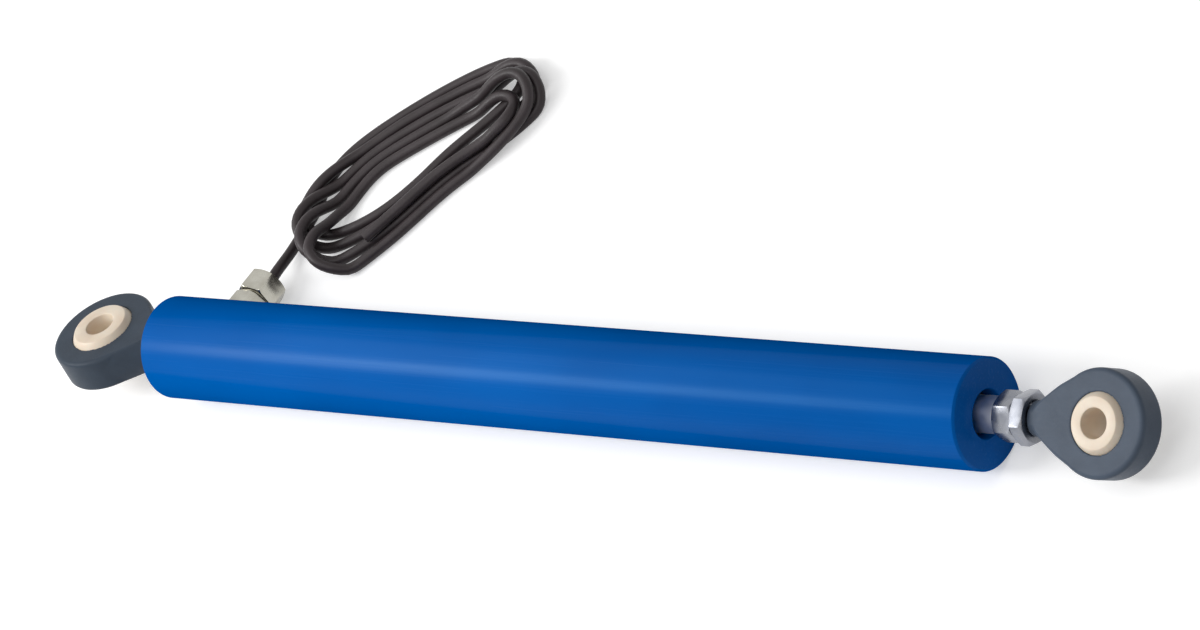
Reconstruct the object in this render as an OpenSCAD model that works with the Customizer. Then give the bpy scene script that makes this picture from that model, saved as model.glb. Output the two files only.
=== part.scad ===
// Linear inductive transducer: a tubular displacement sensor with a guided plunger rod,
// a spherical rod end at both ends and a cable outlet in its side.
// X runs along the tube, from the rear eye to the front eye. The origin is the centre of
// the rear eye's bore, and Z is up from the table that the tube lies on.

/* [Housing tube] */
// Outside diameter of the housing tube
tube_d = 30; // [28:0.5:40]
// Length of the housing tube
tube_len = 296; // [280:1:400]
// Wall of the tube round the coil
tube_wall = 2; // [1.6:0.1:3]
// Length of the thick front end that holds the bush
front_wall = 28; // [26:1:40]
// Bore through the front end
front_hole_d = 13.2; // [12.8:0.1:15]
// Chamfer on both rims of the tube
rim_chamfer = 0.6; // [0.3:0.1:1.2]
// How far the cable outlet droops below level as the tube lies on a table
lie_angle = 17.5; // [0:0.5:17.5]

/* [Rear plug] */
// Length of the plug that closes the rear of the tube
plug_len = 9; // [7:0.5:10]
// Radial section of the O-rings
ring_section = 1.8; // [1.5:0.1:2.2]
// Diameter of the spanner holes in the plug
spanner_hole_d = 3; // [2:0.1:3.5]

/* [Plunger rod] */
// Diameter of the plunger rod
rod_d = 10; // [9:0.1:10.4]
// Travel of the plunger rod
stroke = 100; // [20:1:110]
// Bare rod in front of the tube when the rod is pushed home
rod_show = 5.3; // [3:0.1:20]
// Size across the flats of the rod's hexagon head
hex_af = 12; // [11:0.1:15]
// Length of the hexagon head
hex_len = 6; // [5:0.5:14]
// Diameter of the head's spigot and of the core stem
stem_d = 6; // [5:0.1:6.4]
// Depth of the spigot and of the core stem in the rod
spigot_len = 12; // [8:0.5:16]

/* [Rod ends] */
// Outside diameter of the rear eye
rear_eye_d = 32.2; // [31:0.1:36]
// Thickness of the rear eye plate
rear_eye_t = 10.8; // [10:0.1:11.2]
// Diameter of the rear ball
rear_ball_d = 21.8; // [20:0.1:22.6]
// Width of the rear ball across its two flats
rear_ball_w = 14; // [12.5:0.1:16]
// Bore of the rear ball
rear_bore_d = 9; // [6:0.1:11]
// Rear eye's centre to the end of its neck
rear_neck_len = 22.6; // [22:0.1:28]
// Diameter of the rear neck at its end
rear_neck_d = 11.4; // [11.3:0.1:13]
// Outside diameter of the front eye
front_eye_d = 28.7; // [27:0.1:32]
// Thickness of the front eye plate
front_eye_t = 9; // [8.6:0.1:9.4]
// Diameter of the front ball
front_ball_d = 18.2; // [17.4:0.1:19.4]
// Width of the front ball across its two flats
front_ball_w = 12; // [10.5:0.1:13]
// Bore of the front ball
front_bore_d = 8; // [6:0.1:9]
// Front eye's centre to the end of its neck
front_neck_len = 22.1; // [21:0.1:26]
// Diameter of the front neck at its end
front_neck_d = 9.6; // [9.5:0.1:12]
// Edge radius of both eye plates
eye_edge = 1.2; // [0.6:0.1:1.8]
// Clearance between ball and socket
ball_gap = 0.08; // [0.03:0.01:0.15]
// Thread of the studs
thread_d = 8; // [6:0.1:8.2]
// Size across the flats of the lock nuts
nut_af = 13; // [12:0.1:15]
// Thickness of the lock nuts
nut_t = 4; // [3:0.1:6.5]
// Thread that shows between the hexagon head and the front nut
front_thread_show = 0.05; // [0.05:0.05:6]
// Thread that shows between the rear nut and the plug
rear_thread_show = 0.85; // [0.5:0.05:6]

/* [Guide] */
// Length of the guide bush
bush_len = 17; // [12:0.5:19]
// Width of the wiper ring
wiper_len = 3.5; // [2:0.1:4]
// Running clearance all round the rod and the guide ring
run_gap = 0.08; // [0.03:0.01:0.1]
// Clearance between the wiper lip and the rod
wiper_gap = 0.1; // [0.05:0.01:0.3]

/* [Coil] */
// Bore of the coil former
former_bore = 11.6; // [11.2:0.1:13]
// Wall of the former's tube
former_wall = 1.2; // [0.8:0.1:1.6]
// Thickness of the former's flanges
flange_t = 3; // [2:0.1:4]
// Diameter of the windings
winding_d = 21; // [18:0.1:21.4]
// Wall of the shield sleeve
shield_wall = 0.8; // [0.5:0.1:1]
// Thickness of the packing ring in front of the coil
packing_t = 4; // [2:0.1:6]
// Diameter of the ferrite core
core_d = 9.6; // [8:0.1:10.2]
// Length of the guide ring behind the core
guide_len = 5; // [3:0.1:8]

/* [Electronics] */
// Length of the bay behind the coil
bay_len = 70; // [66:1:90]
// Wall of the board cradle
cradle_wall = 1.5; // [1:0.1:2]
// Width of the circuit board
board_w = 19; // [14:0.1:20]
// Thickness of the circuit board
board_t = 1.6; // [1:0.1:2]

/* [Cable gland] */
// Gland axis in front of the tube's rear face
gland_x = 16; // [14:0.1:17]
// Size across the flats of the gland body
gland_af = 10.6; // [10:0.1:12.5]
// Height of the gland body's hexagon
gland_hex_h = 5.2; // [4:0.1:8]
// Size across the flats of the gland cap
cap_af = 11.2; // [10:0.1:12]
// Height of the gland cap
cap_h = 9.2; // [6:0.1:11]
// Gap between the cap and the body
cap_gap = 0.8; // [0.2:0.1:1.5]
// Turn of the cap's hexagon about the gland axis
cap_turn = 14; // [-30:1:30]
// Diameter of the gland's thread in the tube
gland_thread_d = 7.6; // [7:0.1:8]

/* [Cable] */
// Diameter of the cable
cable_d = 3.4; // [3:0.1:3.8]
// Length of the coiled cable's oval
oval_len = 88; // [80:1:96]
// Width of the coiled cable's oval
oval_w = 38; // [34:1:42]
// Height of the coiled cable
oval_h = 9; // [6.8:0.1:11]

/* [Hidden] */
$fn = 64;
fit_gap = 0.05;
seat_gap = 0.1;
tube_r = tube_d / 2;
tube_in = tube_d - 2 * tube_wall;
floor_z = -tube_r;

// Places along X
rear_nut_x = rear_neck_len + fit_gap;
rear_face = rear_nut_x + nut_t + rear_thread_show;
front_face = rear_face + tube_len;
front_land = front_face - front_wall;
plug_end = rear_face + plug_len;
former_x = rear_face + bay_len;
former_end = front_land - packing_t;
former_len = former_end - former_x;
hex_x = front_face + rod_show;
head_end = hex_x + hex_len;
front_nut_x = head_end + front_thread_show;
front_neck_x = front_nut_x + nut_t + fit_gap;
front_eye_x = front_neck_x + front_neck_len;

// The core and its guide, with the rod pushed home
clip_t = 0.8;
clip_play = 0.2;
core_play = 0.3;
clip_x = former_x + 2;
guide_x = clip_x + clip_t + clip_play;
core_x = guide_x + guide_len + core_play;
core_margin = 8;
core_len = former_end - core_margin - stroke - core_x;
rod_x = core_x + core_len + seat_gap;
stem_x = clip_x - 1.2;
stem_end = rod_x + spigot_len;
guide_d = former_bore - 2 * run_gap;

// The front end's bore, from the front face inwards
wiper_inset = 4;
bush_inset = wiper_inset + wiper_len + 1;

// The studs: what they leave in front of each ball, and how far they go in
stud_web = 4.5;
stud_in_head = hex_len - 0.6;
stud_in_plug = plug_len - 1;

// The rod ends: their sides, and the round neck that the plate runs out in
side_set = 0.1;
side_aim = 0.3;
neck_show = 1.9;
neck_chamfer = 0.5;
cone_slope = 0.67;

// How the front pieces are turned about the tube's axis
front_eye_turn = 45;
head_turn = 25;
nut_turn = 6;

// The plug's groove
groove_w = ring_section + 0.4;
groove_d = tube_in - 2 * ring_section - 0.2;
plug_groove = plug_len / 2 - groove_w / 2;

// The shield, the former and the windings
shield_d = tube_in - 2 * seat_gap;
flange_d = shield_d - 2 * shield_wall - 2 * seat_gap;
former_d = former_bore + 2 * former_wall;
bay_winding = (former_len - 3 * flange_t) / 2;

// The former's soldering pins: two on either side of its bore
pin_d = 0.8;
pin_pitch = 1.8;
pin_y = former_bore / 2 + 1.2;
pin_out = 6;
pin_in = 2;

// The cradle and its board
cradle_d = tube_in - 2 * seat_gap;
board_clear = 23;
board_x = rear_face + board_clear;
board_len = former_x - board_x - 3;
board_z = -1.5;
post_t = 3;
post_rear_x = board_x + 1;
post_front_x = board_x + board_len - post_t - 1;
screw_d = 2;
screw_reach = 4;
rear_screw_y = 7;
cradle_x = plug_end + seat_gap;
cradle_len = former_x - seat_gap - cradle_x;

// The parts on the board
chip_len = 8;
chip_w = 4;
can_d = 4.6;
can_h = 5.4;
can_pitch = 6;
trimmer_len = 6;
trimmer_w = 4.4;
trimmer_h = 4.2;
trimmer_pitch = 7;

// The gland, along its own axis from the tube's centre line
gland_at = rear_face + gland_x;
washer_t = 1.2;
washer_d = 10.4;
washer_seat = tube_r - 1;
hex_base = washer_seat + washer_t;
cap_base = hex_base + gland_hex_h + cap_gap;
cap_top = cap_base + cap_h;
gland_foot = tube_r - 4.5;
collar_d = cap_af - 2.4;
collar_top = cap_base + cap_h - 2.6;
cap_chamfer = 0.6;
dome_r = 12;
seal_d = 5.8;
seal_base = hex_base + 3;
tail_end = 5;
wire_d = 0.8;
cable_hole = cable_d + 2 * fit_gap;

// The coiled cable lies on the table beside the tube
oval_x = 80.5;
oval_y = 71;
oval_angle = 46;
oval_window = 8;

// The cable's route from the gland to the coil, in the table's frame
lead_start = [gland_at, cap_top * cos(lie_angle), -cap_top * sin(lie_angle)];
lead_points = [lead_start, [43.4, 33, -10.4], [43.2, 37.5, -11.8], [42.9, 42, -12.8],
    [42.8, 46.5, -13.3], [43.6, 51, -13.3], [45.5, 55, -13.3]];
lead_sides = 8;

// Stands a shape that was drawn along Z on the tube's axis, at x
module along_tube(x) {
    translate([x, 0, 0]) rotate([0, 90, 0]) children();
}

// Turns the body about its axis, from its own frame to how it lies on the table
module as_it_lies() {
    rotate([-lie_angle, 0, 0]) children();
}

// Stands a shape that was drawn along Z on the gland's axis
module along_gland() {
    translate([gland_at, 0, 0]) rotate([-90, 0, 0]) children();
}

// A round bar or ring with chamfered ends
module turned_bar(d, h, c, bore = 0) {
    difference() {
        rotate_extrude()
            polygon([[0, 0], [d / 2 - c, 0], [d / 2, c], [d / 2, h - c], [d / 2 - c, h], [0, h]]);
        if (bore > 0) translate([0, 0, -1]) cylinder(h = h + 2, d = bore);
    }
}

// A hexagon bar across its flats, with its corners turned off at both ends
module hexagon_bar(af, h, corner = 0.9) {
    across = af / cos(30);
    intersection() {
        rotate([0, 0, 30]) cylinder(h = h, d = across, $fn = 6);
        turned_bar(across + 0.2, h, corner);
    }
}

module lock_nut() {
    difference() {
        hexagon_bar(nut_af, nut_t);
        translate([0, 0, -1]) cylinder(h = nut_t + 2, d = thread_d + 2 * fit_gap);
        for (s = [-1, 1]) translate([0, 0, nut_t / 2 + s * (nut_t / 2 + 0.1)])
            mirror([0, 0, s > 0 ? 1 : 0])
                cylinder(h = 0.6, r1 = thread_d / 2 + 0.6, r2 = thread_d / 2);
    }
}

// The section of a plate's edge: its corners are rounded on the outer side
module rounded_edge(w, t, r) {
    translate([0, -t / 2 + r]) square([w, t - 2 * r]);
    translate([0, -t / 2]) square([w - r, t]);
    for (s = [-1, 1]) translate([w - r, s * (t / 2 - r)]) circle(r = r);
}

// The angle of the line that touches a circle of radius r and meets the point x, y
function touching(r, x, y) = asin(r / norm([x, y])) - atan2(y, x);

// One side of the eye's outline: it leaves the eye almost at a tangent and runs in to the neck
module eye_side(eye_d, eye_t, neck_x, neck_d) {
    edge = eye_d / 2 - side_set;
    turn = 90 - touching(edge, neck_x + side_aim, neck_d / 2);
    rotate([0, 0, turn]) rotate([90, 0, 0]) linear_extrude(height = eye_d) union() {
        rounded_edge(edge, eye_t, eye_edge);
        translate([-eye_d / 2, -eye_t / 2]) square([eye_d / 2 + 1, eye_t]);
    }
}

// The cone that takes the plate's corners down to the round neck
module neck_cone(eye_d, neck_x, neck_d) {
    wide = eye_d / 2 + 3;
    inside = 1;
    rotate_extrude()
        polygon([[0, 0], [wide, 0], [wide, neck_x - (wide - neck_d / 2) / cone_slope],
            [neck_d / 2 - inside, neck_x + inside / cone_slope], [0, neck_x + inside / cone_slope]]);
}

// The eye, with the spherical socket inside it
module eye_ring(eye_d, eye_t, socket_r) {
    rotate_extrude($fn = 96) difference() {
        rounded_edge(eye_d / 2, eye_t, eye_edge);
        circle(r = socket_r);
    }
}

// What joins the eye to the stud: the plate runs in to a round neck and keeps its flat faces
module eye_arm(eye_d, eye_t, socket_r, neck_len, neck_d) {
    neck_x = neck_len - neck_show;
    difference() {
        union() {
            intersection() {
                eye_side(eye_d, eye_t, neck_x, neck_d);
                mirror([0, 1, 0]) eye_side(eye_d, eye_t, neck_x, neck_d);
                along_tube(0) neck_cone(eye_d, neck_x, neck_d);
            }
            intersection() {
                along_tube(0) turned_bar(neck_d, neck_len, neck_chamfer);
                translate([0, -eye_d / 2, -eye_t / 2]) cube([neck_len + 1, eye_d, eye_t]);
            }
        }
        translate([0, 0, -eye_t]) cylinder(h = 2 * eye_t, r = socket_r + 1);
    }
}

// The moulded housing of a rod end: a round eye whose sides run in to a short round neck.
// The eye is at the origin with its bore along Z, and the neck points along +X.
module rod_end(eye_d, eye_t, ball_d, neck_len, neck_d) {
    socket_r = ball_d / 2 + ball_gap;
    difference() {
        union() {
            eye_ring(eye_d, eye_t, socket_r);
            eye_arm(eye_d, eye_t, socket_r, neck_len, neck_d);
        }
        along_tube(ball_d / 2 + stud_web) cylinder(h = neck_len, d = thread_d + 2 * fit_gap);
    }
}

// The ball of a rod end, with its bore along Z
module ball(ball_d, ball_w, bore_d) {
    difference() {
        intersection() {
            sphere(d = ball_d, $fn = 96);
            translate([0, 0, -ball_w / 2]) cylinder(h = ball_w, d = ball_d + 1);
        }
        translate([0, 0, -ball_w]) cylinder(h = 2 * ball_w, d = bore_d);
    }
}

// An O-ring that lies round the tube's axis, from x on
module o_ring(outer_d, section) {
    rotate_extrude() translate([outer_d / 2 - section / 2, section / 2]) circle(d = section);
}

module housing_tube() {
    color("royalblue") as_it_lies() difference() {
        along_tube(rear_face) turned_bar(tube_d, tube_len, rim_chamfer);
        along_tube(rear_face - 1) cylinder(h = front_land - rear_face + 1, d = tube_in);
        along_tube(front_land - 1) cylinder(h = front_wall + 2, d = front_hole_d);
        along_gland() cylinder(h = tube_r + 1, d = gland_thread_d + 2 * fit_gap);
        along_gland() translate([0, 0, washer_seat])
            cylinder(h = tube_r, d = washer_d + 2 * seat_gap);
    }
}

module rear_plug() {
    color("gainsboro") as_it_lies() difference() {
        along_tube(rear_face) turned_bar(tube_in - 2 * fit_gap, plug_len, 0.5);
        along_tube(rear_face - 1) cylinder(h = plug_len + 2, d = thread_d + 2 * fit_gap);
        along_tube(rear_face + plug_groove) difference() {
            cylinder(h = groove_w, d = tube_in + 2);
            translate([0, 0, -1]) cylinder(h = groove_w + 2, d = groove_d);
        }
        for (s = [-1, 1]) translate([0, s * (thread_d + tube_in) / 4, 0])
            along_tube(rear_face - 1) cylinder(h = 3.5, d = spanner_hole_d);
    }
}

module plug_o_ring() {
    color("black") as_it_lies()
        along_tube(rear_face + plug_groove + (groove_w - ring_section) / 2)
            o_ring(tube_in - fit_gap, ring_section);
}

// A stud from x to the end, threaded along its length
module stud(x, end) {
    along_tube(x) turned_bar(thread_d, end - x, 0.6);
}

module rear_stud() {
    color("silver") as_it_lies()
        stud(rear_ball_d / 2 + stud_web + seat_gap, rear_face + stud_in_plug);
}

module rear_lock_nut() {
    color("silver") as_it_lies() along_tube(rear_nut_x) lock_nut();
}

module rear_rod_end() {
    color("darkslategray") as_it_lies()
        rod_end(rear_eye_d, rear_eye_t, rear_ball_d, rear_neck_len, rear_neck_d);
}

module rear_ball() {
    color("bisque") as_it_lies() ball(rear_ball_d, rear_ball_w, rear_bore_d);
}

module guide_bush() {
    color("goldenrod") as_it_lies() along_tube(front_face - bush_inset - bush_len)
        turned_bar(front_hole_d - 2 * fit_gap, bush_len, 0.4, rod_d + 2 * run_gap);
}

// The wiper: a rubber ring whose lip leans forward on the rod
module rod_wiper() {
    lip_r = rod_d / 2 + wiper_gap;
    rim_r = front_hole_d / 2 - fit_gap;
    heel = wiper_len * 0.7;
    color("dimgray") as_it_lies() along_tube(front_face - wiper_inset - wiper_len)
        rotate_extrude()
            polygon([[lip_r + 0.5, 0], [rim_r, 0], [rim_r, heel], [lip_r + 0.5, wiper_len],
                [lip_r, wiper_len], [lip_r, heel]]);
}

module packing_ring() {
    color("dimgray") as_it_lies() along_tube(former_end) difference() {
        cylinder(h = packing_t, d = shield_d);
        translate([0, 0, -1]) cylinder(h = packing_t + 2, d = former_d + 1);
    }
}

// The coil former: a tube with a flange at each end and one between its two windings
module coil_former() {
    color("ivory") as_it_lies() difference() {
        along_tube(former_x) union() {
            cylinder(h = former_len, d = former_d);
            for (i = [0:2]) translate([0, 0, i * (flange_t + bay_winding)])
                cylinder(h = flange_t, d = flange_d);
        }
        along_tube(former_x - 1) cylinder(h = former_len + 2, d = former_bore);
        pins(pin_d + 2 * fit_gap, pin_in + seat_gap);
    }
}

// The winding in bay i of the former
module winding(i) {
    along_tube(former_x + flange_t + i * (flange_t + bay_winding) + fit_gap) difference() {
        cylinder(h = bay_winding - 2 * fit_gap, d = winding_d);
        translate([0, 0, -1]) cylinder(h = bay_winding + 2, d = former_d + 2 * fit_gap);
    }
}

module rear_winding() {
    color("chocolate") as_it_lies() winding(0);
}

module front_winding() {
    color("chocolate") as_it_lies() winding(1);
}

// The former's soldering pins, which lie on the board
module pins(d, depth) {
    for (s = [-1, 1], i = [0, 1])
        translate([0, s * (pin_y + i * pin_pitch), board_z + board_t + pin_d / 2 + fit_gap])
            along_tube(former_x - pin_out) cylinder(h = pin_out + depth, d = d, $fn = 24);
}

module coil_pins() {
    color("tan") as_it_lies() pins(pin_d, pin_in);
}

module shield_sleeve() {
    color("darkgray") as_it_lies() along_tube(former_x) difference() {
        cylinder(h = former_len, d = shield_d);
        translate([0, 0, -1]) cylinder(h = former_len + 2, d = shield_d - 2 * shield_wall);
    }
}

// The cradle: the lower half of a tube, with two posts that carry the board, and a notch
// in its rim that clears the gland's thread
module board_cradle() {
    color("dimgray") as_it_lies() difference() {
        intersection() {
            union() {
                difference() {
                    along_tube(cradle_x) cylinder(h = cradle_len, d = cradle_d);
                    along_tube(cradle_x - 1)
                        cylinder(h = cradle_len + 2, d = cradle_d - 2 * cradle_wall);
                }
                for (x = [post_rear_x, post_front_x]) along_tube(x)
                    cylinder(h = post_t, d = cradle_d - cradle_wall);
            }
            translate([cradle_x - 1, -tube_r, -tube_r])
                cube([cradle_len + 2, tube_d, tube_r + board_z]);
        }
        along_gland() cylinder(h = tube_r, d = gland_thread_d + 1);
        board_screw_places() translate([0, 0, -screw_reach - 1]) screw_hole();
    }
}

// The places of the board's two screws, at the board's underside
module board_screw_places() {
    for (p = [[post_rear_x, rear_screw_y], [post_front_x, 0]])
        translate([p[0] + post_t / 2, p[1], board_z]) children();
}

module screw_hole() {
    cylinder(h = screw_reach + board_t + 2, d = screw_d + 2 * fit_gap, $fn = 24);
}

module circuit_board() {
    color("seagreen") as_it_lies() difference() {
        translate([board_x, -board_w / 2, board_z]) cube([board_len, board_w, board_t]);
        board_screw_places() translate([0, 0, -1]) screw_hole();
    }
}

module board_screws() {
    color("silver") as_it_lies() board_screw_places() {
        translate([0, 0, -screw_reach])
            cylinder(h = screw_reach + board_t, d = screw_d, $fn = 24);
        translate([0, 0, board_t]) difference() {
            cylinder(h = 1.3, d = 3.8);
            translate([0, 0, 0.5]) cylinder(h = 1, d = 1.5, $fn = 6);
        }
    }
}

// Moves a part that was drawn on z = 0 onto the board's upper side
module on_board(x, y) {
    translate([board_x + x, y, board_z + board_t]) children();
}

// The driver chip: a moulded body with a row of legs along both sides
module driver_chip() {
    color("black") as_it_lies() on_board(board_len * 0.42, -1.5) {
        translate([-chip_len / 2, -chip_w / 2, 0.3]) cube([chip_len, chip_w, 1.5]);
        for (i = [0:5], s = [-1, 1])
            translate([-chip_len / 2 + 0.5 + 1.3 * i, s * (chip_w / 2 + 0.5) - 0.5, 0])
                cube([0.5, 1, 0.5]);
    }
}

module capacitors() {
    color("darkgray") as_it_lies() for (s = [-1, 1])
        on_board(board_len * 0.2, s * can_pitch / 2) turned_bar(can_d, can_h, 0.3);
}

// The zero and span trimmers: a block with a screw slot in its side
module trimmers() {
    color("steelblue") as_it_lies() for (i = [0, 1])
        on_board(board_len * 0.62, trimmer_pitch * i - 6) difference() {
            translate([0, -trimmer_w / 2, 0]) cube([trimmer_len, trimmer_w, trimmer_h]);
            translate([trimmer_len / 2, 0, trimmer_h - 0.5]) cylinder(h = 1, d = 2.4);
        }
}

module gland_washer() {
    color("black") as_it_lies() along_gland() translate([0, 0, washer_seat]) difference() {
        cylinder(h = washer_t, d = washer_d);
        translate([0, 0, -1]) cylinder(h = washer_t + 2, d = gland_thread_d + 2 * fit_gap);
    }
}

// The gland's body: a thread into the tube, a hexagon, and a collar inside the cap
module gland_body() {
    color("silver") as_it_lies() along_gland() difference() {
        union() {
            translate([0, 0, gland_foot])
                turned_bar(gland_thread_d, hex_base - gland_foot + 0.5, 0.4);
            translate([0, 0, hex_base]) hexagon_bar(gland_af, gland_hex_h, 0.6);
            translate([0, 0, hex_base]) turned_bar(collar_d, collar_top - hex_base, 0.3);
        }
        translate([0, 0, gland_foot - 1]) cylinder(h = tube_d, d = cable_hole);
        translate([0, 0, seal_base]) cylinder(h = tube_d, d = seal_d + 2 * fit_gap);
    }
}

module gland_seal() {
    color("black") as_it_lies() along_gland() translate([0, 0, seal_base + fit_gap])
        turned_bar(seal_d, collar_top - seal_base - fit_gap, 0.3, cable_hole);
}

// The gland's cap: a hexagon whose top is turned to a low dome
module gland_cap() {
    across = cap_af / cos(30);
    color("silver") as_it_lies() along_gland() difference() {
        intersection() {
            translate([0, 0, cap_base]) rotate([0, 0, 30 + cap_turn])
                cylinder(h = cap_h, d = across, $fn = 6);
            translate([0, 0, cap_base]) turned_bar(across + 0.1, cap_h + 1, cap_chamfer);
            translate([0, 0, cap_top - dome_r]) sphere(r = dome_r, $fn = 96);
        }
        translate([0, 0, cap_base - 1])
            cylinder(h = collar_top + seat_gap - cap_base + 1, d = collar_d + 2 * fit_gap);
        translate([0, 0, cap_base]) cylinder(h = tube_d, d = cable_hole);
    }
}

// The cable's end: it runs through the gland and is stripped inside the tube
module cable_tail() {
    color("dimgray") as_it_lies() along_gland() translate([0, 0, tail_end])
        cylinder(h = cap_top - tail_end, d = cable_d);
}

// Sweeps a ring of n sides along the points p
function unit(v) = v / norm(v);
function heading(p, i) = unit(i == 0 ? p[1] - p[0] : i == len(p) - 1 ? p[i] - p[i - 1]
    : unit(p[i + 1] - p[i]) + unit(p[i] - p[i - 1]));
function across_of(p, i) = let (h = heading(p, i), a = cross(h, [0, 0, 1]))
    norm(a) < 0.01 ? [1, 0, 0] : unit(a);
function ring(p, i, r, n) = let (h = heading(p, i), a = across_of(p, i), b = cross(a, h))
    [for (k = [0:n - 1]) p[i] + r * cos(360 * (k + 0.5) / n) * a + r * sin(360 * (k + 0.5) / n) * b];
module sweep(p, d, n) {
    m = len(p);
    polyhedron(
        points = [for (i = [0:m - 1]) each ring(p, i, d / 2, n)],
        faces = concat(
            [[for (k = [0:n - 1]) k]],
            [for (i = [0:m - 2], k = [0:n - 1])
                [i * n + k, (i + 1) * n + k, (i + 1) * n + (k + 1) % n, i * n + (k + 1) % n]],
            [[for (k = [n - 1:-1:0]) (m - 1) * n + k]]),
        convexity = 6);
}

// The stripped cores, which run from the cable's end down to the board
module core_wires() {
    color("firebrick") as_it_lies() for (i = [-1:1]) {
        x = gland_at + 1.5 * wire_d * i;
        y = 2 * wire_d * i;
        wire_z = board_z + board_t + wire_d / 2 + seat_gap;
        sweep([[x, tail_end - fit_gap, 0.4], [x, tail_end - 2, 0.5], [x + 2, y + 1, 0.9],
            [board_x + 1.5, y, wire_z], [board_x + 3, y, wire_z]], wire_d, 6);
    }
}

module guide_ring() {
    color("ivory") as_it_lies() along_tube(guide_x)
        turned_bar(guide_d, guide_len, 0.4, stem_d + 2 * run_gap);
}

module plunger_rod() {
    color("lightgray") as_it_lies() difference() {
        along_tube(rod_x) turned_bar(rod_d, hex_x - rod_x, 0.4);
        along_tube(rod_x - 1) cylinder(h = spigot_len + 1 + seat_gap, d = stem_d + 2 * fit_gap);
        along_tube(hex_x - spigot_len - seat_gap)
            cylinder(h = spigot_len + 1, d = stem_d + 2 * fit_gap);
    }
}

// The hexagon head that is screwed into the rod's end and takes the stud
module hexagon_head() {
    color("silver") as_it_lies() difference() {
        union() {
            along_tube(hex_x) rotate([0, 0, head_turn]) hexagon_bar(hex_af, hex_len);
            along_tube(hex_x - spigot_len) turned_bar(stem_d, spigot_len + 0.5, 0.4);
        }
        along_tube(head_end - stud_in_head)
            cylinder(h = stud_in_head + 1, d = thread_d + 2 * fit_gap);
    }
}

module front_lock_nut() {
    color("silver") as_it_lies() along_tube(front_nut_x) rotate([0, 0, nut_turn]) lock_nut();
}

module front_stud() {
    color("silver") as_it_lies()
        stud(head_end - stud_in_head + seat_gap,
            front_eye_x - front_ball_d / 2 - stud_web - seat_gap);
}

// Turns a rod end round to face the rod, with its eye at the front
module at_front_eye() {
    as_it_lies() translate([front_eye_x, 0, 0]) rotate([front_eye_turn, 0, 0])
        mirror([1, 0, 0]) children();
}

module front_rod_end() {
    color("slategray") at_front_eye()
        rod_end(front_eye_d, front_eye_t, front_ball_d, front_neck_len, front_neck_d);
}

module front_ball() {
    color("bisque") at_front_eye() ball(front_ball_d, front_ball_w, front_bore_d);
}

module core_stem() {
    color("lightgray") as_it_lies() difference() {
        along_tube(stem_x) turned_bar(stem_d, stem_end - stem_x, 0.4);
        along_tube(clip_x) difference() {
            cylinder(h = clip_t, d = stem_d + 1);
            translate([0, 0, -1]) cylinder(h = clip_t + 2, d = stem_d - 1.2);
        }
    }
}

module ferrite_core() {
    color("dimgray") as_it_lies() along_tube(core_x)
        turned_bar(core_d, core_len, 0.3, stem_d + 2 * fit_gap);
}

// The clip that holds the guide ring on the stem: a spring ring with an open mouth
module stem_clip() {
    color("silver") as_it_lies() along_tube(clip_x + fit_gap) difference() {
        cylinder(h = clip_t - 2 * fit_gap, d = stem_d + 2.6);
        translate([0, 0, -1]) cylinder(h = clip_t + 2, d = stem_d - 1.1);
        translate([0, -1.5, -1]) cube([stem_d, 3, clip_t + 2]);
    }
}

module cable_lead() {
    color("dimgray") sweep(lead_points, cable_d, lead_sides);
}

// The outline of the coiled cable: an oval with round ends
module oval(w) {
    side = oval_len - oval_w;
    square([side, w], center = true);
    for (s = [-1, 1]) translate([s * side / 2, 0]) circle(d = w);
}

module cable_coil() {
    color("dimgray") translate([oval_x, oval_y, floor_z]) rotate([0, 0, oval_angle])
        linear_extrude(height = oval_h) difference() {
            oval(oval_w);
            oval(oval_window);
        }
}

housing_tube();
rear_plug();
plug_o_ring();
rear_stud();
rear_lock_nut();
rear_rod_end();
rear_ball();
guide_bush();
rod_wiper();
packing_ring();
coil_former();
rear_winding();
front_winding();
coil_pins();
shield_sleeve();
board_cradle();
circuit_board();
board_screws();
driver_chip();
capacitors();
trimmers();
gland_washer();
gland_body();
gland_seal();
gland_cap();
cable_tail();
core_wires();
guide_ring();
plunger_rod();
hexagon_head();
front_lock_nut();
front_stud();
front_rod_end();
front_ball();
core_stem();
ferrite_core();
stem_clip();
cable_lead();
cable_coil();
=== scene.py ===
import math
import bpy
import bmesh
from mathutils import Matrix, Vector


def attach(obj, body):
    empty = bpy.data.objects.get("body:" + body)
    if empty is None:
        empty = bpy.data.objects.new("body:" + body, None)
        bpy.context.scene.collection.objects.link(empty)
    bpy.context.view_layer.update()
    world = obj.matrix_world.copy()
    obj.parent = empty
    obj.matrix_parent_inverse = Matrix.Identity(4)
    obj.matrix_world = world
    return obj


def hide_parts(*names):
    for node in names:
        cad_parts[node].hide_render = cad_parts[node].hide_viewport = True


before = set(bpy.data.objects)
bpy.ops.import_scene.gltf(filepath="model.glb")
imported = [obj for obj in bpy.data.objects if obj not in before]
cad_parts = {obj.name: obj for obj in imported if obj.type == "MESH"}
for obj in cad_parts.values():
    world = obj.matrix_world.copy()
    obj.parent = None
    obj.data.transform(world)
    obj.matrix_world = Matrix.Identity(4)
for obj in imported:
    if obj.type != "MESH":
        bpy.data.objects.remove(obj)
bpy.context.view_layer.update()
scene = bpy.context.scene

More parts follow.
